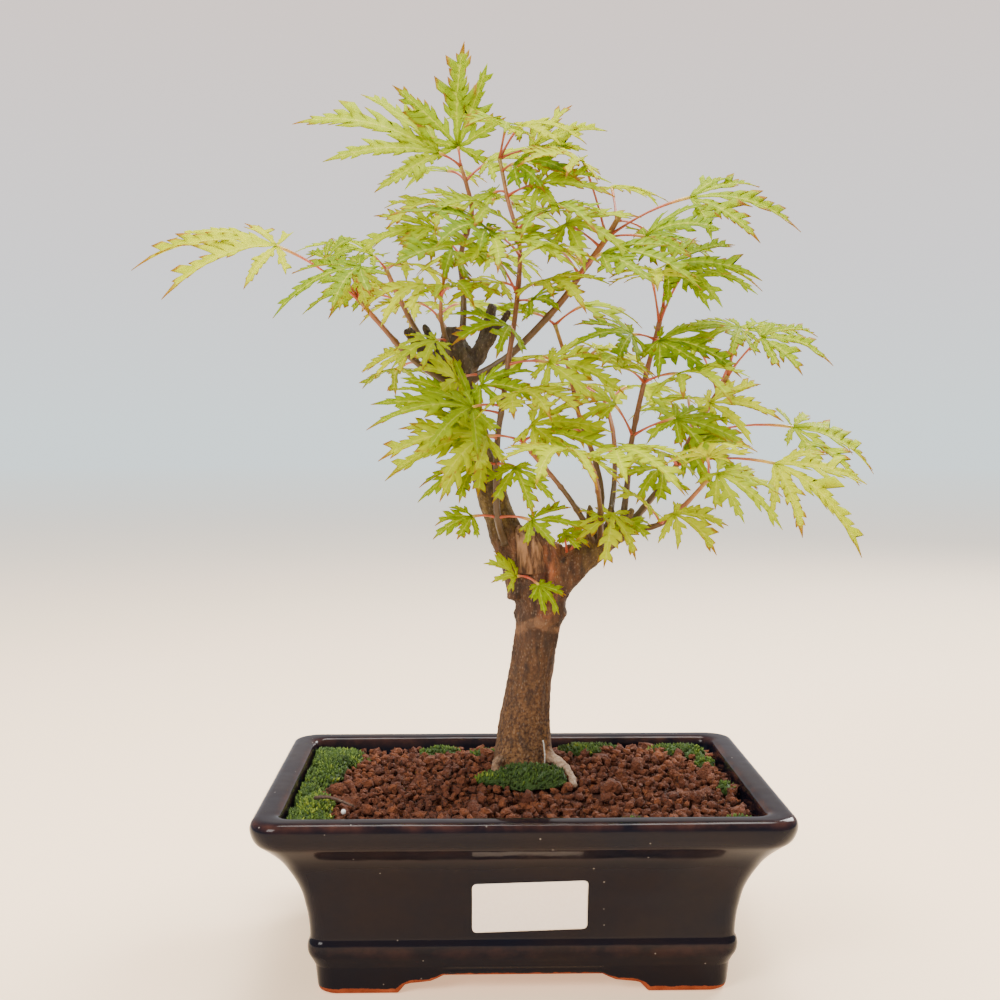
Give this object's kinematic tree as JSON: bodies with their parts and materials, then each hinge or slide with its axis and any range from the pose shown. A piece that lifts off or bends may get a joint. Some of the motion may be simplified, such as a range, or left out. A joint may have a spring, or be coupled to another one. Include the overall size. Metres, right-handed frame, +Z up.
{
  "type": "bonsai tree in a pot",
  "caption": "Young cut-leaf maple bonsai with a forked trunk, thin shoots and lobed leaves, rooted in granular soil in a glazed rectangular footed pot.",
  "frame": {"origin": "on the ground, under the middle of the pot", "axes": "+Z up along the tree, +X to the right and +Y to the back, seen from the pot's labelled front"},
  "size_m": [0.2754, 0.1683, 0.331],
  "materials": {
    "glaze": "gloss",
    "soil": "matte",
    "moss": "matte",
    "bark": "matte",
    "shoot_bark": "satin",
    "leaf": "satin",
    "screen": "matte",
    "label": "satin"
  },
  "bodies": {
    "root": {"drain_screen_left": "screen", "drain_screen_right": "screen", "leaves_apex_low": "leaf", "leaves_apex_middle": "leaf", "leaves_apex_side": "leaf", "leaves_apex_top": "leaf", "leaves_back_left": "leaf", "leaves_back_right": "leaf", "leaves_centre_foot": "leaf", "leaves_centre_low": "leaf", "leaves_centre_middle": "leaf", "leaves_centre_top": "leaf", "leaves_centre_upper": "leaf", "leaves_fork_pair": "leaf", "leaves_front": "leaf", "leaves_inner_low": "leaf", "leaves_inner_middle": "leaf", "leaves_inner_top": "leaf", "leaves_left_far": "leaf", "leaves_left_long": "leaf", "leaves_left_low": "leaf", "leaves_left_middle": "leaf", "leaves_left_twig": "leaf", "leaves_long_low": "leaf", "leaves_long_middle": "leaf", "leaves_long_top": "leaf", "leaves_long_upper": "leaf", "leaves_low_spray": "leaf", "leaves_oblique_back": "leaf", "leaves_oblique_high": "leaf", "leaves_oblique_low": "leaf", "leaves_outer_low": "leaf", "leaves_outer_tip": "leaf", "leaves_tall_low": "leaf", "leaves_tall_middle": "leaf", "leaves_tall_top": "leaf", "moss_back_left": "moss", "moss_back_middle": "moss", "moss_back_right": "moss", "moss_left_back": "moss", "moss_left_front": "moss", "moss_trunk_foot": "moss", "pot": "glaze", "pot_label": "label", "shoot_apex": "shoot_bark", "shoot_back_left": "shoot_bark", "shoot_back_right": "shoot_bark", "shoot_centre": "shoot_bark", "shoot_front": "shoot_bark", "shoot_left_high": "shoot_bark", "shoot_left_low": "shoot_bark", "shoot_left_twig": "shoot_bark", "shoot_oblique": "shoot_bark", "shoot_right_inner": "shoot_bark", "shoot_right_long": "shoot_bark", "shoot_right_low": "shoot_bark", "shoot_right_outer": "shoot_bark", "shoot_right_tall": "shoot_bark", "soil": "soil", "trunk": "bark"}
  },
  "joints": []
}
